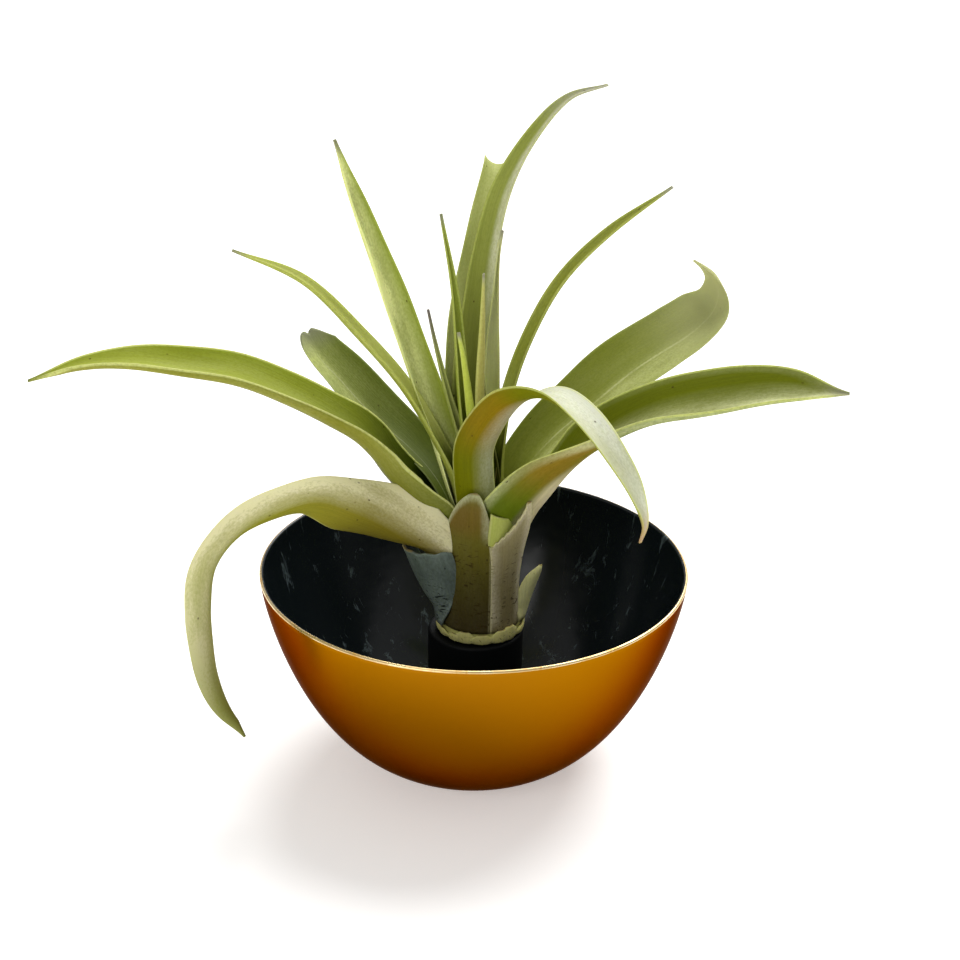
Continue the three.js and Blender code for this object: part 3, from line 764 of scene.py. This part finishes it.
def skin_material(name, **look):
    """A blade's material: the skin with this blade's own colours and values, on one shader."""
    material, tree, shader = new_material(name, Sheen_Weight=0.02, Sheen_Roughness=0.4,
                                          Sheen_Tint=srgb(SKIN_SHEEN), Subsurface_Weight=0.15,
                                          Subsurface_Radius=(0.8, 1.0, 0.15), Subsurface_Scale=0.0015,
                                          Specular_IOR_Level=0.06)
    values = {key: srgb(text) for key, text in SKIN_COLOURS.items()} | SKIN_VALUES
    values["Seed"] = zlib.crc32(name.encode()) % 997 / 10
    for key, value in look.items():
        values[key.replace("_", " ")] = srgb(value) if isinstance(value, str) else value
    skin = add_node(tree, "ShaderNodeGroup", values, node_tree=leaf_skin).outputs
    link_looks(tree, shader, Base_Color=skin["Color"], Roughness=skin["Roughness"],
               Normal=add_bump(tree, skin["Height"], SKIN_RELIEF, SKIN_RELIEF_DEPTH))
    return material


def grow(node, slot, look, **shape):
    """Builds a blade in place of the solid of that name."""
    blade = link_object(node + "_blade", blade_mesh(node, **shape))
    blade.data.materials.append(skin_material(node + "_skin", **look))
    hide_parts(node)
    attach(blade, "root")


# Young leaves: slim pale blades that rise from the middle of the rosette, the newest growth. Each one
# grows out of the stem inside the older leaves.
YOUNG = dict(Inner="9AA82A", Outer="929E2E", Inner_Bloom=0.1, Outer_Bloom=0.12, Tip="8E8A78",
             Throat_Reach=0.4)
grow("leaf_young_center", "leaf_young", dict(YOUNG, Outer="A39C50"), heading=275,
     spine=[[2, 77], [2, 92], [3, 112, -1], [5, 134, -1], [6, 147, -1]],
     widths=[5, 5, 4.5, 3.6, 2, 0.5], folds=[60, 60], rolls=[60, 70, 70])
grow("leaf_young_front", "leaf_young", dict(YOUNG, Inner="BFC84C", Outer="B5C044"), heading=250,
     spine=[[3, 76], [4, 90], [6, 112, -2], [8, 124, -3], [9, 131, -4]],
     widths=[3.4, 3.2, 2.8, 2.2, 1.4, 0.5], folds=[60, 60], rolls=[30, 30])
grow("leaf_needle", "leaf_young", dict(YOUNG, Inner="727E08", Outer="7E8A18", Tip="8A8A74"), heading=190,
     spine=[[3, 76], [4, 92, -1], [6, 114, -1], [8, 139], [12, 162, 1]],
     widths=[6.5, 6, 5, 3.4, 1.8, 0.5], folds=[60, 60], rolls=[-40, -50, -60])
grow("leaf_pale_back", "leaf_young",
     dict(YOUNG, Inner="C9C9A0", Outer="7A5A3A", Inner_Bloom=0.5), heading=70,
     spine=[[3, 76], [5, 92, -1], [8, 108, 0], [10, 128, 1], [12, 145, 1], [13, 153, 0]],
     widths=[5, 5, 4.5, 4, 2.5, 0.5], folds=[60, 60], rolls=[0, 0])
grow("leaf_young_left", "leaf_young",
     dict(YOUNG, Inner="A9B060", Outer="8A9442", Tip="7A6E74", Tip_Reach=0.3), heading=150,
     spine=[[4, 76], [6, 92], [11, 110, 1], [15, 124, 1], [17, 132, 1]],
     widths=[4, 4, 3, 2.2, 1.2, 0.5], folds=[60, 60], rolls=[0, 0])

# Upright leaves: full-grown blades that stand behind the young ones and lean outwards at their tips.
# They are firm and channelled, and their bases are hidden in the rosette.
UPRIGHT = dict(Inner="8C9A1C", Outer="868C20", Inner_Bloom=0.12, Outer_Bloom=0.14, Tip="8C8A72")
grow("leaf_tallest", "leaf_green",
     dict(UPRIGHT, Inner="929A42", Inner_Bloom=0.36, Side_Bloom=-0.34, Side_Step=1.0, Crease_At=-0.3,
          Bloom="D4D4B4", Tip="A8A692", Tip_Reach=0.2, Throat="666C26", Throat_Reach=0.7),
     heading=62, ridge=1.2,
     spine=[[5, 75], [5, 92, 3], [5, 112, 6], [8, 130, 6], [12, 146, 6], [19, 162, 5.2], [30, 176, 1.2],
            [40, 184, -3.6], [49, 186.5, -11]],
     widths=[12, 12, 11, 9.2, 7.4, 5.6, 3.4, 0.5], folds=[45, 42, 40, 40], rolls=[0, 0])
grow("leaf_tall_back", "leaf_green", dict(UPRIGHT, Inner="929A46", Inner_Bloom=0.42), heading=105, ridge=1.2,
     spine=[[7, 74], [10, 94, 3], [14, 117, 2.5], [18, 137, -1], [24, 150, -5], [31, 159, -9],
            [38, 163, -12], [46, 161, -14], [54, 153, -15], [61, 142, -16]],
     widths=[11, 11, 11, 10.5, 9, 7, 4.5, 0.5], folds=[45, 42, 40, 40], rolls=[0, 0])
# Its side bloom is painted light and shade: one half of the channel paler, the other darker.
grow("leaf_tall_left", "leaf_green",
     dict(UPRIGHT, Inner="828E22", Outer="A4AC4A", Bloom="F2F6AA", Inner_Bloom=0.6, Outer_Bloom=0.4,
          Side_Bloom=0.6, Throat_Reach=0.15), heading=165, ridge=1.2,
     spine=[[5, 75], [9, 88, 1], [16, 108, 0], [25, 132, -1], [34, 155, -2], [42, 177, -2]],
     widths=[12, 11.3, 10.7, 10, 8.2, 5.3, 0.5], folds=[70, 70, 68, 68], rolls=[-30, -35, -40])
grow("leaf_thin_right", "leaf_green", dict(UPRIGHT, Inner="868C28", Tip="9A9888"), heading=22,
     spine=[[5, 75], [5, 92], [7.5, 110], [13, 125.5], [22, 140.5], [34.5, 152.5, -1], [53, 164, -2]],
     widths=[6, 5, 4.4, 4, 3.6, 2.7, 0.5], folds=[55, 55], rolls=[20, 20])
grow("leaf_thin_left", "leaf_green",
     dict(UPRIGHT, Inner="B6BC4E", Inner_Bloom=0.3, Edge_Width=0.8), heading=185,
     spine=[[6, 75], [8, 86], [14, 100], [22, 114], [33, 128], [48, 144], [66, 152, -1]],
     widths=[8, 7, 6.5, 6, 5, 3.2, 0.5], folds=[60, 60], rolls=[-15, -15])

# Spreading leaves: the large outer blades. Each one wraps the stem with its broad base, lets go of it and
# spreads, and all of them carry more silver scales than the young ones.
# Its side bloom is painted light: the lit part of the blade is paler.
grow("leaf_arched_front", "leaf_silver",
     dict(Inner="AEB180", Outer="6E7002", Bloom="DCDEC8", Inner_Bloom=0.58, Outer_Bloom=0.03, Side_Bloom=0.36,
          Blush="8E6E10", Blush_Amount=0.8, Blush_At=0.48, Blush_Spread=0.13, Tip="B08C66", Tip_Reach=0.08,
          Throat="6E6A20", Edge_Amount=0.6), heading=268, hug=0.5, ridge=1.2,
     spine=[[INNER, SHEATH_FOOT], [INNER, 64], [INNER, 78, -1], [8, 88, -2], [9, 98, -2], [11, 106, 1],
            [15, 114, 6], [22, 120, 13], [29, 122, 20], [35.5, 119, 27], [41, 112, 34], [43.5, 103, 40],
            [44, 94, 43], [44, 89, 42]],
     widths=[11, 11, 11, 11, 10, 10, 9.5, 6.5, 0.5], folds=[40, 40], rolls=[0, 0, 0, 8, 40, 48, 48])
# Its side bloom is painted light: the lit near half of the blade is paler than the far half.
grow("leaf_broad_right", "leaf_green",
     dict(UPRIGHT, Inner="70781A", Inner_Bloom=0.22, Side_Bloom=-0.14, Side_Step=1.0, Crease=0.55,
          Crease_At=-0.25, Edge="C4C68C", Edge_Amount=0.15, Tip="C4C48E", Tip_Reach=0.37),
     heading=38, hug=0.24, ridge=1.3, strips=28,
     spine=[[INNER, SHEATH_FOOT], [INNER, 62], [9, 73, 1], [14, 83, 2], [24, 92, 1.5], [37, 100],
            [51, 106.5], [62, 110], [71, 112.4], [78.3, 115.2], [83.3, 118.6], [85, 122.2], [83.8, 126.8],
            [80.5, 130.4], [76, 133.7]],
     widths=[12, 12.5, 13, 14, 15, 16.5, 18, 19, 20, 20, 19.5, 19, 15.5, 4.2, 0.5],
     folds=[30, 24, 24, 24, 35],
     rolls=[0, 5, 20, 25, 20])
# Its side bloom is painted light: the lit near part of the blade is paler than the far part.
grow("leaf_broad_left", "leaf_silver",
     dict(Inner="66721C", Outer="767C40", Bloom="C2C880", Inner_Bloom=0.55, Side_Bloom=0.26, Side_Step=1.0,
          Crease=0.4, Crease_At=0.3, Edge="B4B890", Edge_Amount=0.2, Tip="7A7C62", Tip_Reach=0.1,
          Throat="465208", Throat_Reach=1.15), heading=145, hug=0.3, ridge=1.3, strips=28,
     spine=[[INNER, SHEATH_FOOT], [INNER, 62], [9, 73, -0.5], [15, 81, -1.5], [26, 88, -3], [38, 95, -2.5],
            [49, 104, -1], [56, 109.5], [62.1, 115.7]],
     widths=[13, 13, 11.5, 11, 12, 15.5, 16, 14.5, 11], folds=[35, 30, 28, 28], rolls=[0, -10, -15, -15],
     end=lambda v: 1 - 0.06 * v * v - 0.02 * max(0.0, 1 - abs(v) / 0.25))
grow("leaf_low_back", "leaf_green", dict(UPRIGHT), heading=93, hug=0.25, ridge=1.2,
     spine=[[THIRD, SHEATH_FOOT], [THIRD, 60], [12, 72], [18, 82], [28, 90], [42, 91], [57, 84],
            [68, 70], [74, 54]],
     widths=[12, 14, 15, 14, 12, 9, 5, 0.5], folds=[40, 40, 40, 45], rolls=[0, 0])
grow("leaf_long_left", "leaf_green",
     dict(UPRIGHT, Inner="96A024", Outer="7E7C10", Inner_Bloom=0.18, Side_Bloom=0.1, Keel="8E8C86",
          Keel_Width=0.4, Keel_Reach=0.42, Base="566606", Base_Reach=0.45, Outer_Bloom=0.05, Tip="767A30",
          Edge="D8DC8C", Edge_Amount=0.8, Throat="3A4802", Throat_Reach=0.6),
     heading=185, hug=0.23, ridge=1.2, strips=28,
     lips=(0, 0, 0, 0, 1, 2, 2, 2, 1.4, 1, 0), lip_turn=80, lip_side=1,
     spine=[[SECOND, SHEATH_FOOT], [SECOND, 60], [10.8, 67, -1.5], [15.5, 75, -2], [21.5, 82.5, -0.5],
            [26.5, 89], [30, 94.5], [34.5, 99.5], [41, 104], [52, 110.5], [66, 117], [80, 120], [94, 122],
            [108, 121], [121, 117]],
     widths=[20, 20, 25, 25, 19.5, 17, 15, 12, 6.5, 0.5], folds=[75, 78, 62, 55, 48, 45, 45],
     rolls=[0, 6, 4, -6, -14, -20, -20, -20])
# Its side bloom is painted light: the lit near band of the blade is paler.
grow("leaf_long_right", "leaf_green",
     dict(UPRIGHT, Inner="6C7410", Outer="5E6E02", Inner_Bloom=0.2, Outer_Bloom=0.02, Margin_Bloom=0.4,
          Bloom="D2D4A0", Edge_Amount=0.7, Side_Bloom=-0.5, Outer_Side=0.0, Blush="8C6A0E",
          Blush_Amount=0.8, Blush_At=0.43, Blush_Spread=0.14, Base="8E8A58", Keel="D0C498",
          Keel_Width=0.45, Keel_Reach=0.5, Throat_Reach=0.45),
     heading=346, hug=0.26, ridge=1.2, strips=28, lips=(0, 0, 0, 0, 1, 2, 1.8, 1.4, 1, 0), lip_turn=80,
     spine=[[SECOND, SHEATH_FOOT], [SECOND, 62], [10.4, 68, 0], [13.6, 76.5, -2], [18, 84, -4],
            [24.5, 93, -3.5], [33.5, 102.5, -2], [46.5, 111, -0.5], [62.5, 116.5, 0.7], [80, 120, 3],
            [97, 120, 4.6]],
     widths=[22, 25, 30, 31, 28, 21, 17.5, 16.5, 15, 10.5, 0.5], folds=[75, 82, 84, 72, 58, 48, 42, 40, 40],
     rolls=[0, -8, -20, -16, 12, 26, 36, 38, 38])
# Its strong side bloom is painted light: the lit half of the blade is cream and the other half olive.
grow("leaf_drooping_left", "leaf_silver",
     dict(Inner="8FA046", Outer="98A034", Bloom="E2DCAE", Inner_Bloom=0.4, Outer_Bloom=0.05, Side_Bloom=1.1,
          Specks=0.35, Base="8E7A22", Base_Reach=0.9, Tip="6E7228", Tip_Reach=0.45, Edge="D8D4A0",
          Edge_Width=0.7),
     heading=207, hug=0.17, ridge=1.3, strips=32,
     spine=[[THIRD, SHEATH_FOOT], [THIRD, 56], [11.5, 62, -1], [15.5, 67, -2.5], [22.5, 72, -3.5],
            [29, 77, -3], [38, 83, -1], [50, 89], [62, 88], [72, 84], [79, 76], [81, 65], [81, 54], [80, 43],
            [77, 32], [72, 22]],
     widths=[15, 17, 25.5, 18.5, 12, 14, 17.5, 16, 10.5, 0.5], folds=[60, 60, 55, 50, 60, 80, 90, 85],
     rolls=[0, 10, 50, 80, 60, 30, 14, 12, 12])

# Cut and torn bases: what is left of older leaves that were cut off low, wrapped round the foot of the
# plant. They are tough and tan, with ragged upper edges and dark scratches.
STUB = dict(Inner="8E9438", Outer="7D6A30", Base="8A8648", Inner_Bloom=0.15, Outer_Bloom=0.15, Specks=0.3,
            Tip="8A7A4A", Edge="CFC894", Tip_Reach=0.02)
grow("stub_cut", "leaf_young", dict(STUB, Outer="B6BE5A", Inner="6E7A10", Base="A8AC58"), heading=303, hug=1,
     ridge=0.8,
     spine=[[THIRD, SHEATH_FOOT], [THIRD, 58], [10.2, 66], [11.4, 73], [12.6, 81]],
     widths=[8.4, 8.4, 8.4, 9, 9], folds=[30, 30], rolls=[0, 0],
     end=lambda v: 0.94 - 0.03 * v + 0.015 * v * v)
grow("stub_torn", "old_growth",
     dict(STUB, Outer="94885A", Base="6E6030", Base_Reach=0.7, Bloom="D4CAA8", Margin_Bloom=0.5,
          Edge_Amount=0.6, Scratches=0.85, Specks=0.5), heading=311, hug=1, ridge=0.8,
     spine=[[OUTER, SHEATH_FOOT], [OUTER, 58], [11.6, 66], [13.6, 74, -1.2], [16.4, 84.5, -4.2]],
     widths=[9.8, 9.8, 10.4, 11.5, 12], folds=[30, 30], rolls=[0, -5, -35], crease=(0.6, 0.4),
     end=lambda v: 1 - 0.36 * max(0.0, (0.8 - v) / 1.8) ** 0.65 + 0.008 * math.sin(23 * v))
# Its dark olive-brown base colour is painted shade, low inside the bowl.
grow("stub_front", "old_growth",
     dict(STUB, Outer="6A6212", Outer_Bloom=0.04, Margin_Bloom=0.6, Margin_From=0.62, Bloom="B4B68C",
          Base="3E3212", Base_Reach=0.8, Blush="74480E", Blush_Amount=0.45, Blush_At=0.82,
          Blush_Spread=0.18, Scratches=0.85, Specks=0.5), heading=238.5, hug=1, ridge=0.8,
     spine=[[OUTER, SHEATH_FOOT], [OUTER, 58], [OUTER, 70], [10.8, 78], [10.2, 86]],
     widths=[16.6, 16.8, 16.8, 16.8, 16], folds=[40, 40], rolls=[0, 0],
     end=lambda v: 1 - 0.55 * max(0.0, (0.5 - v) / 1.5) ** 2 - 0.85 * max(0.0, v - 0.5) ** 2)
grow("stub_right", "old_growth", dict(STUB, Outer="DAD69A", Inner="A8A65C"), heading=2, hug=0.2, ridge=0.8,
     spine=[[OUTERMOST, SHEATH_FOOT], [12.8, 46], [13.8, 50], [14.8, 53.5], [15.8, 56.5], [16.8, 59]],
     widths=[10, 12, 13, 11, 7, 0.6], folds=[40, 45], rolls=[-10, -40])
# Its pale bluish bloom, stronger on one side, is a painted highlight on the dark sheath.
grow("sheath_dry", "dry_sheath",
     dict(STUB, Outer="3C483C", Inner="4A5450", Bloom="98A69C", Speck="0E1614", Specks=0.3, Scratches=0.95,
          Outer_Bloom=0.24, Side_Bloom=0.24, Base="1A221C", Base_Reach=0.5, Edge="7E8880"),
     heading=190, hug=0.3, ridge=0.8,
     spine=[[OUTERMOST, SHEATH_FOOT], [12.6, 47], [15.2, 52, 1], [17.3, 57.5, 2], [19, 62.5, 2.5],
            [20.6, 66.5, 2.3]],
     widths=[9, 14, 20, 23, 25, 25], folds=[60, 65, 70, 75], rolls=[0, 15, 25, 25],
     end=lambda v: 1 - 0.12 * max(0.0, v) + 0.01 * math.sin(17 * v))

# Foot: the torn ends of the first leaves, a low ring of pale scales that lean on the lowest sheaths where
# the plant stands on its disc.
FOOT_SCALES = 17
FOOT_RADIUS = 12.2
FOOT_BOTTOM = 40.2
FOOT_BEND = 41.5
FOOT_TOP = 41.7
FOOT_RISE = (1.0, 3.4)
FOOT_LOW_RISE = 0.6
UNDER_SHEATH = (165, 250)
UNDER_BRACT = 330
foot_draw = np.random.default_rng(7)
foot_parts = []
for i in range(FOOT_SCALES):
    at = 360 * i / FOOT_SCALES
    rise = foot_draw.uniform(*FOOT_RISE)
    if UNDER_SHEATH[0] < at < UNDER_SHEATH[1] or at > UNDER_BRACT:
        rise = FOOT_LOW_RISE
    scale = blade_mesh(f"foot_scale_{i}", heading=at + foot_draw.uniform(-5, 5),
                       spine=[[FOOT_RADIUS - 0.3, FOOT_BOTTOM], [FOOT_RADIUS, FOOT_BEND],
                              [FOOT_RADIUS - 0.1, FOOT_TOP + rise]],
                       widths=[6.5, 6.8, 5.5, 2.2], folds=[28, 28], rolls=[0, foot_draw.uniform(-8, 8)],
                       ridge=0.5, strips=8, wave=0.2)
    foot_parts.append(link_object(f"foot_scale_{i}", scale))
with bpy.context.temp_override(active_object=foot_parts[0], object=foot_parts[0],
                               selected_objects=foot_parts, selected_editable_objects=foot_parts):
    bpy.ops.object.join()
foot_parts[0].name = "foot_scales"
foot_parts[0].data.materials.append(skin_material(
    "foot_skin", Outer="D2CA80", Inner="A0A44C", Base="CAC684", Specks=0.8, Outer_Bloom=0.15, Tip="9A8A54",
    Scratches=0.6))
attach(foot_parts[0], "root")
